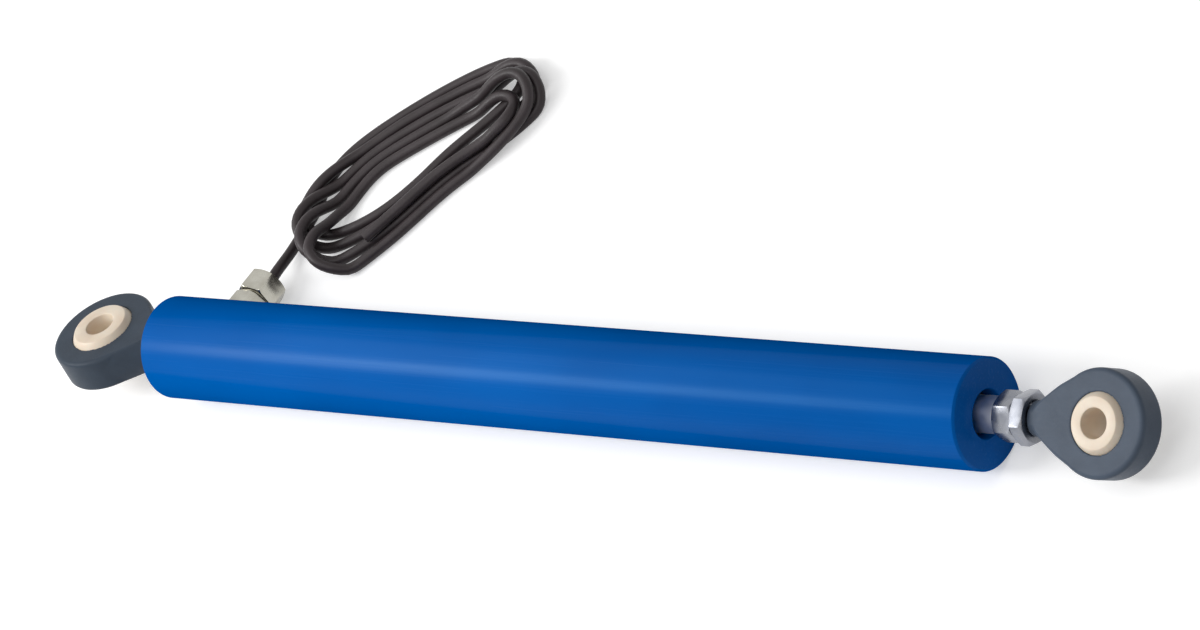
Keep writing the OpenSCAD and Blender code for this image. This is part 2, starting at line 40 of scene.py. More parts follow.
# Viewpoint
# The photograph looks down on the sensor from its front right, from more than a metre
# away through a long lens, with the camera rolled so that the tube lies nearly level.
camera_data = bpy.data.cameras.new("camera")
camera_data.lens = 165
camera_data.sensor_width = 36
camera_data.clip_end = 10
camera = bpy.data.objects.new("camera", camera_data)
scene.collection.objects.link(camera)
view_right = Vector((0.7584, 0.3633, -0.5412))
view_up = Vector((-0.0550, 0.8630, 0.5023))
view_back = Vector((0.6494, -0.3511, 0.6745))
camera.matrix_world = Matrix((view_right, view_up, view_back)).transposed().to_4x4()
camera.location = (1.1683, -0.5129, 1.0248)
scene.camera = camera

# Housing tube
# The housing is a drawn aluminium tube, turned to length and anodised blue. Its front
# end is left thick for the rod's bush, and a flat-bottomed bore in its side seats the gland.
MM = 0.001
TUBE_R, TUBE_BORE_R, TUBE_EDGE = 15, 13, 0.6
REAR_FACE, FRONT_LAND, FRONT_FACE = 27.5, 295.5, 323.5
ROD_HOLE_R, ROD_HOLE_EDGE = 6.6, 0.25
OUTLET_X, OUTLET_R, OUTLET_FLOOR, OUTLET_HOLE_R = 43.5, 5.3, 14, 3.85
# A shape is drawn in mm along Z, laid along the tube or its outlet, and rolled with the tube.
ROLL = math.radians(-17.5)
LAID = Matrix.Scale(MM, 4) @ Matrix.Rotation(ROLL, 4, "X")
ALONG = Matrix.Rotation(math.radians(90), 4, "Y")
OUTLET = Matrix.Translation((OUTLET_X, 0, 0)) @ Matrix.Rotation(math.radians(-90), 4, "X")


def turned(profile, steps=96, closed=True):
    """a lathe-turned shape: points of radius and height, spun round Z"""
    bm = bmesh.new()
    verts = [bm.verts.new((r, 0, z)) for r, z in profile]
    pairs = list(zip(verts, verts[1:])) + ([(verts[-1], verts[0])] if closed else [])
    edges = [bm.edges.new(p) for p in pairs]
    bmesh.ops.spin(bm, geom=verts + edges, cent=(0, 0, 0), axis=(0, 0, 1), dvec=(0, 0, 0),
                   angle=2 * math.pi, steps=steps, use_merge=True, use_duplicate=False)
    bmesh.ops.remove_doubles(bm, verts=bm.verts, dist=0.0005)
    bmesh.ops.recalc_face_normals(bm, faces=bm.faces)
    return bm


def combine(bm, tool, operation="DIFFERENCE"):
    """cuts one bmesh by another, or keeps what they share, and returns the new one"""
    holders = []
    for n, part in enumerate((bm, tool)):
        mesh = bpy.data.meshes.new("combine_%d" % n)
        part.to_mesh(mesh)
        part.free()
        holder = bpy.data.objects.new("combine_%d" % n, mesh)
        scene.collection.objects.link(holder)
        holders.append(holder)
    cut = holders[0].modifiers.new("cut", "BOOLEAN")
    cut.operation = operation
    cut.solver = "EXACT"
    cut.object = holders[1]
    made = bmesh.new()
    made.from_object(holders[0], bpy.context.evaluated_depsgraph_get())
    for holder in holders:
        mesh = holder.data
        bpy.data.objects.remove(holder)
        bpy.data.meshes.remove(mesh)
    bmesh.ops.remove_doubles(made, verts=made.verts, dist=0.0005)
    bmesh.ops.dissolve_limit(made, angle_limit=math.radians(1), verts=made.verts, edges=made.edges)
    return made


def ease_edges(bm, width, over):
    """breaks the edges that turn by more than so many degrees, as a deburring tool does"""
    sharp = [e for e in bm.edges if len(e.link_faces) == 2
             and e.calc_face_angle(0) > math.radians(over)]
    bmesh.ops.bevel(bm, geom=sharp, offset=width, offset_type="OFFSET", segments=2,
                    profile=0.5, affect="EDGES", clamp_overlap=True, material=-1)


def make_piece(name, bm, place, smooth=32):
    """puts a mesh that was drawn in mm in its place and gives it soft shading"""
    bmesh.ops.transform(bm, matrix=place, verts=bm.verts)
    mesh = bpy.data.meshes.new(name)
    bm.to_mesh(mesh)
    bm.free()
    mesh.shade_smooth()
    mesh.set_sharp_from_angle(angle=math.radians(smooth))
    piece = bpy.data.objects.new(name, mesh)
    scene.collection.objects.link(piece)
    return piece


tube = turned([(TUBE_BORE_R, REAR_FACE), (TUBE_R - TUBE_EDGE, REAR_FACE), (TUBE_R, REAR_FACE + TUBE_EDGE),
               (TUBE_R, FRONT_FACE - TUBE_EDGE), (TUBE_R - TUBE_EDGE, FRONT_FACE),
               (ROD_HOLE_R + ROD_HOLE_EDGE, FRONT_FACE), (ROD_HOLE_R, FRONT_FACE - ROD_HOLE_EDGE),
               (ROD_HOLE_R, FRONT_LAND), (TUBE_BORE_R, FRONT_LAND)], 160)
bmesh.ops.transform(tube, matrix=ALONG, verts=tube.verts)
outlet = turned([(0, TUBE_BORE_R - 3), (OUTLET_HOLE_R, TUBE_BORE_R - 3), (OUTLET_HOLE_R, OUTLET_FLOOR),
                 (OUTLET_R, OUTLET_FLOOR), (OUTLET_R, TUBE_R + 5), (0, TUBE_R + 5)], 64)
bmesh.ops.transform(outlet, matrix=OUTLET, verts=outlet.verts)
tube = combine(tube, outlet)
ease_edges(tube, 0.1, 35)
tube_piece = make_piece("tube", tube, LAID, 25)


def paint(hex_colour):
    """an sRGB hex value as a linear colour"""
    parts = [int(hex_colour[i:i + 2], 16) / 255 for i in (1, 3, 5)]
    return tuple(c / 12.92 if c <= 0.04045 else ((c + 0.055) / 1.055) ** 2.4 for c in parts) + (1,)


def add(tree, kind, settings=None, **links):
    """a node with its settings and colour stops, and the node or output that feeds each socket"""
    node = tree.nodes.new("ShaderNode" + kind)
    for name, value in (settings or {}).items():
        if name == "stops":
            for stop, (place, colour) in zip(node.color_ramp.elements, value):
                stop.position = place
                stop.color = paint(colour)
        elif name in node.inputs:
            node.inputs[name].default_value = value
        else:
            setattr(node, name, value)
    for name, source in links.items():
        output = source.outputs[0] if isinstance(source, bpy.types.Node) else source
        tree.links.new(output, node.inputs[name.replace("_", " ")])
    return node


def new_material(name):
    """an empty material and its node tree"""
    material = bpy.data.materials.new(name)
    material.use_nodes = True
    material.node_tree.nodes.clear()
    return material, material.node_tree


def grain(tree, size_mm, detail=3, stretch=(1, 1, 1), turn=(0, 0, 0)):
    """noise on the object's own coordinates, with grains of a real size"""
    place = add(tree, "TexCoord")
    mapping = add(tree, "Mapping", {"Scale": stretch, "Rotation": turn}, Vector=place.outputs["Object"])
    noise = add(tree, "TexNoise", {"Scale": 1 / (size_mm * MM), "Detail": detail}, Vector=mapping)
    return noise.outputs["Fac"]


def surface(tree, colours, cloud, roughness, gloss, bumps, depth_mm, strength, settings, **links):
    """the shader of a finish: one pattern mixes its two colours, one takes its roughness from low
    to high, and one raises it by a real depth"""
    colour = add(tree, "ValToRGB", {"stops": tuple(zip((0.3, 0.7), colours))}, Fac=cloud)
    rough = add(tree, "MapRange", {"From Min": 0.3, "From Max": 0.7, "To Min": roughness[0],
                                   "To Max": roughness[1]}, Value=gloss)
    relief = add(tree, "Bump", {"Strength": strength, "Distance": depth_mm * MM}, Height=bumps)
    shader = add(tree, "BsdfPrincipled", settings, Base_Color=colour, Roughness=rough, Normal=relief,
                 **links)
    add(tree, "OutputMaterial", Surface=shader)


def dress(piece, material, body, slot, *nodes):
    """gives a piece its material and its body, and hides the nodes that it stands for; its slot is not used
    """
    piece.data.materials.clear()
    piece.data.materials.append(material)
    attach(piece, body)
    if nodes:
        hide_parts(*nodes)


# Anodised aluminium: a dyed oxide layer over satin metal. The drawing lines run lengthwise, about
# 0.1 mm wide on the real tube and drawn at 0.9 mm so that they show, and the dye wanders a little
# along the tube. The layer mirrors light with a blue tint, most where it faces the eye, and its
# outline stays deep blue.
blue_anodised, tree = new_material("blue_anodised_aluminium")
aspect = add(tree, "LayerWeight", {"Blend": 0.5})
mirror = add(tree, "MapRange", {"From Min": 0.28, "From Max": 0.5, "To Min": 0.12, "To Max": 0.0},
             Value=aspect.outputs["Facing"])
drawing_lines = grain(tree, 0.9, 2, (0.012, 1, 1), (ROLL, 0, 0))
dye = grain(tree, 26, 2, (0.5, 1, 1), (ROLL, 0, 0))
surface(tree, ("#0052A0", "#0059AA"), dye, (0.22, 0.29), drawing_lines, drawing_lines, 0.003, 0.6,
        {"Specular Tint": paint("#7FD0FF")}, Specular_IOR_Level=mirror)
dress(tube_piece, blue_anodised, "housing", "blue_anodised", "housing_tube")

# Rear plug
# A turned aluminium plug closes the tube's rear. Its face keeps the rings of the lathe
# tool, a groove holds its O-ring, and two blind holes take a pin spanner.
PLUG_R, PLUG_BORE_R, PLUG_END, PLUG_EDGE = 12.95, 4.05, 36.5, 0.5
GROOVE_R, GROOVE_START, GROOVE_END = 11.1, 30.9, 33.1
SPANNER_R, SPANNER_OUT, SPANNER_DEEP, DRILL_TIP = 1.5, 8.5, 2.1, 0.8
plug = turned([(PLUG_BORE_R, REAR_FACE), (PLUG_R - PLUG_EDGE, REAR_FACE), (PLUG_R, REAR_FACE + PLUG_EDGE),
               (PLUG_R, GROOVE_START), (GROOVE_R, GROOVE_START), (GROOVE_R, GROOVE_END),
               (PLUG_R, GROOVE_END), (PLUG_R, PLUG_END - PLUG_EDGE), (PLUG_R - PLUG_EDGE, PLUG_END),
               (PLUG_BORE_R, PLUG_END)])
for side in (-SPANNER_OUT, SPANNER_OUT):
    hole = turned([(0, REAR_FACE - 1.5), (SPANNER_R, REAR_FACE - 1.5), (SPANNER_R, REAR_FACE + SPANNER_DEEP),
                   (0, REAR_FACE + SPANNER_DEEP + DRILL_TIP)], 32)
    bmesh.ops.translate(hole, vec=(0, side, 0), verts=hole.verts)
    plug = combine(plug, hole)
ease_edges(plug, 0.12, 35)


# Turned metal: the tool leaves rings round the axis, which spread a highlight across it. The
# real feed is about 0.1 mm, and the rings are drawn up to 1 mm apart so that they show.
def turned_metal(name, colour, shade, rough, ring_mm):
    material, tree = new_material(name)
    place = add(tree, "TexCoord")
    level = add(tree, "Mapping", {"Rotation": (-ROLL, 0, 0)}, Vector=place.outputs["Object"])
    # a wave texture runs through 20 radians a unit
    rings = add(tree, "TexWave", {"wave_type": "RINGS", "rings_direction": "X", "Distortion": 0.4,
                                  "Detail": 2.0, "Scale": 2 * math.pi / (20 * ring_mm * MM)},
                Vector=level)
    cloud = grain(tree, 3.5)
    surface(tree, (shade, colour), cloud, (rough - 0.04, rough + 0.05), cloud,
            rings.outputs["Fac"], 0.008, 0.5, {"Metallic": 1.0})
    return material


# Plain turned aluminium: pale, with a silky gloss.
plain_aluminium = turned_metal("plain_turned_aluminium", "#C9CCCE", "#B9BCBF", 0.34, 1.0)
dress(make_piece("plug", plug, LAID @ ALONG), plain_aluminium, "housing", "plain_aluminium", "rear_plug")

# Studs
# Zinc-plated steel studs join the rod ends to the plug and to the rod's head. They are M8
# with a pitch of 1.25 mm, and the nuts and necks hide nearly all of their thread.
STUD_R, PITCH = 4.0, 1.25
THREAD_DEPTH, CREST, ROOT = PITCH * 0.61, PITCH / 8, PITCH / 4
FLANK = (PITCH - CREST - ROOT) / 2


def threaded(start, end):
    """a thread's profile, swept up by one pitch a turn and cut off square at both ends"""
    z = start - 1.5 * PITCH
    profile = []
    for n in range(int((end - start) / PITCH) + 3):
        profile += [(STUD_R - THREAD_DEPTH, z), (STUD_R - THREAD_DEPTH, z + ROOT),
                    (STUD_R, z + ROOT + FLANK), (STUD_R, z + ROOT + FLANK + CREST)]
        z += PITCH
    profile.append((STUD_R - THREAD_DEPTH, z))
    bm = bmesh.new()
    verts = [bm.verts.new((r, 0, h)) for r, h in profile]
    edges = [bm.edges.new(p) for p in zip(verts, verts[1:])]
    steps = 64
    bmesh.ops.spin(bm, geom=verts + edges, cent=(0, 0, 0), axis=(0, 0, 1),
                   dvec=(0, 0, PITCH / steps), angle=2 * math.pi, steps=steps,
                   use_merge=False, use_duplicate=False)
    bmesh.ops.remove_doubles(bm, verts=bm.verts, dist=0.002)
    for height, up in ((start, -1), (end, 1)):
        bmesh.ops.bisect_plane(bm, geom=bm.verts[:] + bm.edges[:] + bm.faces[:],
                               plane_co=(0, 0, height), plane_no=(0, 0, up), clear_outer=True)
        rim = [e for e in bm.edges if e.is_boundary and abs(e.verts[0].co.z - height) < 0.01
               and abs(e.verts[1].co.z - height) < 0.01]
        bmesh.ops.holes_fill(bm, edges=rim, sides=0)
    bmesh.ops.recalc_face_normals(bm, faces=bm.faces)
    return bm


# Plated metal: the coat dulls the bar's own marks to a fine grain, drawn at 0.3 mm so that it
# shows, and its gloss is a little uneven, as a coat from the barrel is.
def plated(name, colour, shade, rough):
    material, tree = new_material(name)
    cloud = grain(tree, 4, 2)
    surface(tree, (shade, colour), cloud, (rough - 0.04, rough + 0.05), cloud,
            grain(tree, 0.3, 2), 0.004, 0.4, {"Metallic": 1.0})
    return material


# Zinc-plated steel: a bluish grey with a soft mirror.
plated_steel = plated("zinc_plated_steel", "#92949A", "#7E8189", 0.25)
for name, start, end, body, node in (("thread_rear", 15.5, 35.5, "housing", "rear_stud"),
                                     ("thread_front", 329.5, 347.3, "rod", "front_stud")):
    dress(make_piece(name, threaded(start, end), LAID @ ALONG, 40), plated_steel, body,
          "plated_steel", node)

# Lock nuts
# Thin M8 hexagon nuts of plated steel lock the rod ends on their studs. The bar's corners are
# turned off at 30 degrees on both faces, and the thread's mouth is countersunk.
NUT_FLATS, NUT_T, NUT_BORE_R = 13, 4, 4.05
CORNER_IN, CORNER_HIGH, MOUTH = 1.15, 0.66, 0.6


def hexagon(across_flats, low, high, turn):
    """a hexagon bar from one height to another, turned about its axis by so many degrees"""
    bm = bmesh.new()
    bmesh.ops.create_circle(bm, cap_ends=True, segments=6, radius=across_flats / math.sqrt(3),
                            matrix=Matrix.Translation((0, 0, low))
                            @ Matrix.Rotation(math.radians(30 + turn), 4, "Z"))
    wall = bmesh.ops.extrude_face_region(bm, geom=bm.faces[:])
    bmesh.ops.translate(bm, vec=(0, 0, high - low),
                        verts=[g for g in wall["geom"] if isinstance(g, bmesh.types.BMVert)])
    bmesh.ops.recalc_face_normals(bm, faces=bm.faces)
    return bm


def corner_r(across_flats):
    """a radius that just clears the corners of a hexagon"""
    return across_flats / math.sqrt(3) + 0.05


def lock_nut(low, turn):
    """a nut whose lower face stands at this height, turned by so many degrees"""
    high, outer_r = low + NUT_T, corner_r(NUT_FLATS)
    blank = turned([(NUT_BORE_R, low + MOUTH), (4.6, low), (outer_r - CORNER_IN, low),
                    (outer_r, low + CORNER_HIGH), (outer_r, high - CORNER_HIGH),
                    (outer_r - CORNER_IN, high), (4.6, high), (NUT_BORE_R, high - MOUTH)])
    nut = combine(hexagon(NUT_FLATS, low - 1, high + 1, turn), blank, "INTERSECT")
    ease_edges(nut, 0.1, 25)
    return nut


for name, low, turn, body, node in (("nut_rear", 22.65, 0, "housing", "rear_lock_nut"),
                                    ("nut_front", 334.85, 6, "rod", "front_lock_nut")):
    dress(make_piece(name, lock_nut(low, turn), LAID @ ALONG, 25), plated_steel, body,
          "plated_steel", node)

# Rod ends
# The rod end housings are moulded from glass-filled nylon: a round eye with a spherical
# socket, and a flat arm whose sides run in to a short round neck. The rear one is a size larger.
REAR_EYE_SIZES = {"eye_r": 16.1, "half": 5.4, "socket_r": 10.98, "neck_len": 22.6, "neck_r": 5.7}
FRONT_EYE_SIZES = {"eye_r": 14.35, "half": 4.5, "socket_r": 9.18, "neck_len": 22.1, "neck_r": 4.8}
EYE_EDGE, NECK_SHOW, NECK_EDGE, CONE_SLOPE = 1.2, 1.9, 0.5, 0.67
ARM_INSET, ARM_LAP, SOCKET_WALL = 0.1, 0.3, 1.0
# The rear eye lies as the tube does; the front one faces back to it, turned on by 45 degrees.
REAR_EYE = LAID
FRONT_EYE = (LAID @ Matrix.Translation((361, 0, 0)) @ Matrix.Rotation(math.radians(45), 4, "X")
             @ Matrix.Diagonal((-1, 1, 1, 1)))


def eye_profile(eye_r, half, socket_r):
    """the eye's section: its rounded rim, and the hollow of its socket"""
    points = []
    for n in range(7):
        a = math.radians(15 * n)
        points.append((eye_r - EYE_EDGE + EYE_EDGE * math.cos(a),
                       half - EYE_EDGE + EYE_EDGE * math.sin(a)))
    mouth = math.degrees(math.asin(half / socket_r))
    for n in range(9):
        a = math.radians(mouth * (1 - n / 8))
        points.append((socket_r * math.cos(a), socket_r * math.sin(a)))
    return points + [(r, -z) for r, z in reversed(points[:-1])][:-1]


def extruded(outline, half):
    """a flat plate with this outline, as thick on either side of its middle"""
    bm = bmesh.new()
    face = bm.faces.new([bm.verts.new((x, y, -half)) for x, y in outline])
    grown = bmesh.ops.extrude_face_region(bm, geom=[face])
    bmesh.ops.translate(bm, vec=(0, 0, 2 * half),
                        verts=[g for g in grown["geom"] if isinstance(g, bmesh.types.BMVert)])
    bmesh.ops.recalc_face_normals(bm, faces=bm.faces)
    return bm


def turned_along(profile):
    """a solid lathe-turned shape along X: points of radius and length"""
    bm = turned(profile, 96, closed=False)
    bmesh.ops.transform(bm, matrix=ALONG, verts=bm.verts)
    bmesh.ops.recalc_face_normals(bm, faces=bm.faces)
    return bm


def rod_end(eye_r, half, socket_r, neck_len, neck_r):
    """the eye, its arm cut to a cone, and the flattened neck, as three shapes in one bmesh"""
    bm = turned(eye_profile(eye_r, half, socket_r), 128)
    # each side of the arm touches the eye and runs in to the neck
    reach, neck_x = eye_r - ARM_INSET, neck_len - NECK_SHOW
    aim = math.hypot(neck_x + ARM_LAP, neck_r)
    side = math.asin(reach / aim) - math.atan2(neck_r, neck_x + ARM_LAP)
    tip_x = neck_x + ARM_LAP + 1
    tip_y = (reach - tip_x * math.sin(side)) / math.cos(side)
    outline = [(reach * math.sin(side), reach * math.cos(side)), (tip_x, tip_y), (tip_x, -tip_y),
               (reach * math.sin(side), -reach * math.cos(side))]
    span = math.pi / 2 - side
    for n in range(17):
        a = span * (n / 8 - 1)
        outline.append(((socket_r + SOCKET_WALL) * math.cos(a), (socket_r + SOCKET_WALL) * math.sin(a)))
    arm = extruded(outline, half)
    outer = [e for e in arm.edges if min(v.co.xy.length for v in e.verts) > eye_r - 0.5
             and abs(e.verts[0].co.z - e.verts[1].co.z) < 0.01]
    bmesh.ops.bevel(arm, geom=outer, offset=EYE_EDGE, offset_type="OFFSET", segments=6,
                    profile=0.5, affect="EDGES", clamp_overlap=True, material=-1)
    wide = eye_r + 3
    cone_end = neck_x + 1 / CONE_SLOPE
    cone = turned_along([(0, 1), (wide, 1), (wide, neck_x - (wide - neck_r) / CONE_SLOPE),
                         (neck_r - 1, cone_end), (0, cone_end)])
    neck_start = socket_r + SOCKET_WALL + 0.5
    neck = turned_along([(0, neck_start), (neck_r, neck_start), (neck_r, neck_len - NECK_EDGE),
                         (neck_r - NECK_EDGE, neck_len), (0, neck_len)])
    slab = extruded([(0, -eye_r), (neck_len + 1, -eye_r), (neck_len + 1, eye_r), (0, eye_r)], half)
    for part in (combine(arm, cone, "INTERSECT"), combine(neck, slab, "INTERSECT")):
        mesh = bpy.data.meshes.new("part")
        part.to_mesh(mesh)
        part.free()
        bm.from_mesh(mesh)
        bpy.data.meshes.remove(mesh)
    return bm


def mould(piece, grid_mm=0.28, rounds=6):
    """melts the closed shapes of a piece into one skin, and rounds the seams between them"""
    melt = piece.modifiers.new("melt", "REMESH")
    melt.mode = "VOXEL"
    melt.voxel_size = grid_mm * MM
    melt.use_smooth_shade = True
    soften = piece.modifiers.new("soften", "SMOOTH")
    soften.factor = 0.5
    soften.iterations = rounds
    mesh = bpy.data.meshes.new_from_object(piece.evaluated_get(bpy.context.evaluated_depsgraph_get()))
    old = piece.data
    piece.modifiers.clear()
    piece.data = mesh
    mesh.name = piece.name
    bpy.data.meshes.remove(old)
    mesh.shade_smooth()


# Moulded plastic or rubber: matt, with the fine leathery grain of a spark-eroded tool. The real
# grain is about 0.2 mm, and it is drawn at 0.3 to 0.8 mm so that it shows.
def moulded(name, colour, shade, rough, grain_mm=0.45, depth_mm=0.02, shine=0.4, settings=None):
    material, tree = new_material(name)
    fine = grain(tree, grain_mm, 2)
    surface(tree, (shade, colour), grain(tree, 7, 3), (rough - 0.06, rough + 0.06), fine,
            fine, depth_mm, 0.5, {"Specular IOR Level": shine, **(settings or {})})
    return material


# Glass-filled nylon: a dark slate colour with hardly any gloss. Both rod ends are the same nylon,
# and the rear one gets a darker copy of it as painted shade, so the front one reads a shade lighter.
slate_rear_painted_shade = moulded("glass_filled_nylon_painted_shade", "#38424E", "#323B46", 0.45, shine=0.15)
slate_front = moulded("glass_filled_nylon_slate", "#4B5665", "#444E5C", 0.45, shine=0.15)
for name, sizes, place, body, node, slate in (
        ("eye_rear", REAR_EYE_SIZES, REAR_EYE, "housing", "rear_rod_end", slate_rear_painted_shade),
        ("eye_front", FRONT_EYE_SIZES, FRONT_EYE, "rod", "front_rod_end", slate_front)):
    shape = rod_end(**sizes)
    bmesh.ops.transform(shape, matrix=place, verts=shape.verts)
    bmesh.ops.recalc_face_normals(shape, faces=shape.faces)
    eye = make_piece(name, shape, Matrix.Identity(4))
    mould(eye)
    dress(eye, slate, body, "dark_polymer", node)

# Balls
# The balls are moulded from a cream slide polymer, with flat faces and a bore for a 9 mm
# or an 8 mm pin. The socket's shape holds them, and they lean about 15 degrees either way.
BORE_EDGE = 0.15


def ball(ball_r, half, bore_r):
    """a sphere cut flat at both sides, with its bore"""
    flat = math.sqrt(ball_r ** 2 - half ** 2)
    top = math.asin(half / ball_r)
    side = [(flat, half)]
    for n in range(1, 24):
        a = top * (1 - n / 12)
        side.append((ball_r * math.cos(a), ball_r * math.sin(a)))
    bm = turned([(bore_r, half - BORE_EDGE), (bore_r + BORE_EDGE, half)] + side
                + [(flat, -half), (bore_r + BORE_EDGE, -half), (bore_r, BORE_EDGE - half)], 96)
    ease_edges(bm, 0.1, 25)
    return bm


# Cream slide polymer: satin and slightly translucent, so that its shadows stay warm.
cream_polymer = moulded("cream_slide_polymer", "#E8DBC8", "#DFCDB8", 0.38, grain_mm=0.6,
                        depth_mm=0.01, shine=0.3,
                        settings={"Subsurface Weight": 0.15,
                                  "Subsurface Radius": (0.0012, 0.0008, 0.0005)})
for name, sizes, place, node in (
        ("ball_rear", {"ball_r": 10.9, "half": 7.0, "bore_r": 4.5}, REAR_EYE, "rear_ball"),
        ("ball_front", {"ball_r": 9.1, "half": 6.0, "bore_r": 4.0}, FRONT_EYE, "front_ball")):
    shape = ball(**sizes)
    bmesh.ops.transform(shape, matrix=place, verts=shape.verts)
    bmesh.ops.recalc_face_normals(shape, faces=shape.faces)
    dress(make_piece(name, shape, Matrix.Identity(4), 30), cream_polymer, node, "cream_polymer", node)

# Plunger rod
# The plunger rod is ground from stainless steel bar and bored through. Its head's spigot sits
# in the front end of the bore, and the core's stem in the rear end.
ROD_R, ROD_BORE_R, ROD_START, ROD_END, ROD_EDGE = 5, 3.05, 183.6, 328.8, 0.4
rod = turned([(ROD_BORE_R, ROD_START), (ROD_R - ROD_EDGE, ROD_START), (ROD_R, ROD_START + ROD_EDGE),
              (ROD_R, ROD_END - ROD_EDGE), (ROD_R - ROD_EDGE, ROD_END), (ROD_BORE_R, ROD_END)])
# Ground steel: bright, with fine marks of the wheel round it that blur what it mirrors.
ground_steel = turned_metal("ground_steel", "#D0CFCF", "#C4C2C2", 0.34, 0.7)
dress(make_piece("rod", rod, LAID @ ALONG, 25), ground_steel, "rod", "ground_steel", "plunger_rod")

# Rod head
# A hexagon head of plated steel closes the rod's end. It is screwed in by its spigot, takes
# the spanner on its flats, and is bored for the front stud.
HEAD_FLATS, HEAD_LEN, HEAD_FLOOR = 12, 6, 0.6
SPIGOT_R, SPIGOT_LEN, SPIGOT_EDGE = 2.9, 12, 0.4
head_end, spigot_tip, outer_r = ROD_END + HEAD_LEN, ROD_END - SPIGOT_LEN, corner_r(HEAD_FLATS)
# the floor of its bore isn't drawn, so this one mesh is open there, behind the stud
blank = turned([(STUD_R + 0.05, ROD_END + HEAD_FLOOR), (STUD_R + 0.05, head_end - 0.5),
                (STUD_R + 0.5, head_end), (outer_r - 1.1, head_end), (outer_r, head_end - 0.7),
                (outer_r, ROD_END + 0.7), (outer_r - 1.1, ROD_END), (SPIGOT_R, ROD_END),
                (SPIGOT_R, spigot_tip + SPIGOT_EDGE), (SPIGOT_R - 0.3, spigot_tip), (0, spigot_tip),
                (0, ROD_END + HEAD_FLOOR)], closed=False)
bmesh.ops.recalc_face_normals(blank, faces=blank.faces)
head = combine(hexagon(HEAD_FLATS, spigot_tip - 0.8, head_end + 1.2, 25), blank, "INTERSECT")
ease_edges(head, 0.1, 25)
dress(make_piece("head", head, LAID @ ALONG, 25), plated_steel, "rod", "plated_steel", "hexagon_head")

# Wiper
# A black rubber wiper sits in the front bore, 4 mm behind the face. Its lip leans forward
# on the rod and keeps dirt away from the bush.
WIPER_BACK, WIPER_R, LIP_R = FRONT_FACE - 7.5, 6.55, 5.1
wiper = turned([(LIP_R + 0.5, WIPER_BACK), (WIPER_R, WIPER_BACK), (WIPER_R, WIPER_BACK + 2.45),
                (WIPER_R - 0.35, WIPER_BACK + 2.6), (LIP_R + 0.65, WIPER_BACK + 3.4),
                (LIP_R + 0.2, WIPER_BACK + 3.5), (LIP_R, WIPER_BACK + 3.4), (LIP_R, WIPER_BACK + 2.45)])
# Black nitrile rubber: nearly black and matt.
black_rubber = moulded("black_rubber", "#1E1D1D", "#161515", 0.6, grain_mm=0.7, shine=0.35)
dress(make_piece("wiper", wiper, LAID @ ALONG), black_rubber, "housing", "black_rubber", "rod_wiper")

# Gland washer
# A flat sealing washer of black rubber lies on the outlet's floor, and the gland's body
# presses on it.
washer = turned([(3.9, 14), (5.0, 14), (5.2, 14.3), (5.2, 14.9), (5.0, 15.2), (3.9, 15.2)], 64)
dress(make_piece("gland_ring", washer, LAID @ OUTLET), black_rubber, "housing", "black_rubber",
      "gland_washer")

# Gland body
# The body of the gland is turned from nickel-plated hexagon brass and screwed into the tube.
# Above its flats it carries the cap's thread, and it is bored wide for the rubber sleeve.
BODY_FLATS, BODY_LOW, BODY_HIGH, BODY_TOP = 10.6, 15.2, 20.4, 27.8
SCREW_R, SCREW_END, CAP_THREAD_R, SLEEVE_R, CABLE_WAY_R, SLEEVE_FLOOR = 3.8, 10.6, 4.4, 2.95, 1.8, 18.2
outer_r = corner_r(BODY_FLATS)
blank = turned([(CABLE_WAY_R, SCREW_END), (SCREW_R - 0.4, SCREW_END), (SCREW_R, SCREW_END + 0.4),
                (SCREW_R, BODY_LOW), (outer_r - 0.7, BODY_LOW), (outer_r, BODY_LOW + 0.5),
                (outer_r, BODY_HIGH - 0.5), (outer_r - 0.7, BODY_HIGH), (CAP_THREAD_R, BODY_HIGH),
                (CAP_THREAD_R, BODY_TOP - 0.2), (CAP_THREAD_R - 0.2, BODY_TOP), (SLEEVE_R, BODY_TOP),
                (SLEEVE_R, SLEEVE_FLOOR), (CABLE_WAY_R, SLEEVE_FLOOR)], 96)
body = combine(hexagon(BODY_FLATS, SCREW_END - 0.6, BODY_TOP + 0.2, 0), blank, "INTERSECT")
ease_edges(body, 0.12, 25)
# Nickel plate on brass: a warm grey with a soft mirror.
nickel = plated("nickel_plated_brass", "#BAB8AE", "#A8A59A", 0.22)
dress(make_piece("gland_hexagon", body, LAID @ OUTLET, 25), nickel, "housing", "nickel_plate",
      "gland_body")

# Gland cap
# A domed hexagon cap screws down over the body's thread, and squeezes the sleeve on the cable.
# It is turned from the same plated brass.
CAP_FLATS, CAP_LOW, CAP_TOP, CAP_FLOOR, DOME_R = 11.2, 21.2, 30.4, 27.9, 12.0
CAP_BORE_R, CABLE_HOLE_R, HOLE_MOUTH_R = CAP_THREAD_R + 0.05, 1.75, 2.1
outer_r = corner_r(CAP_FLATS)
dome = []
for n in range(9):
    a = math.asin((HOLE_MOUTH_R + (outer_r - HOLE_MOUTH_R) * n / 8) / DOME_R)
    dome.append((DOME_R * math.sin(a), CAP_TOP - DOME_R + DOME_R * math.cos(a)))
blank = turned([(CABLE_HOLE_R, CAP_TOP - 0.35), (CABLE_HOLE_R + 0.2, CAP_TOP - 0.17)] + dome
               + [(outer_r, CAP_LOW + 0.6), (outer_r - 0.6, CAP_LOW), (CAP_BORE_R, CAP_LOW),
                  (CAP_BORE_R, CAP_FLOOR), (CABLE_HOLE_R, CAP_FLOOR)], 96)
cap = combine(hexagon(CAP_FLATS, CAP_LOW - 1, CAP_TOP + 1, 14), blank, "INTERSECT")
ease_edges(cap, 0.12, 25)
dress(make_piece("gland_dome", cap, LAID @ OUTLET, 25), nickel, "housing", "nickel_plate", "gland_cap")

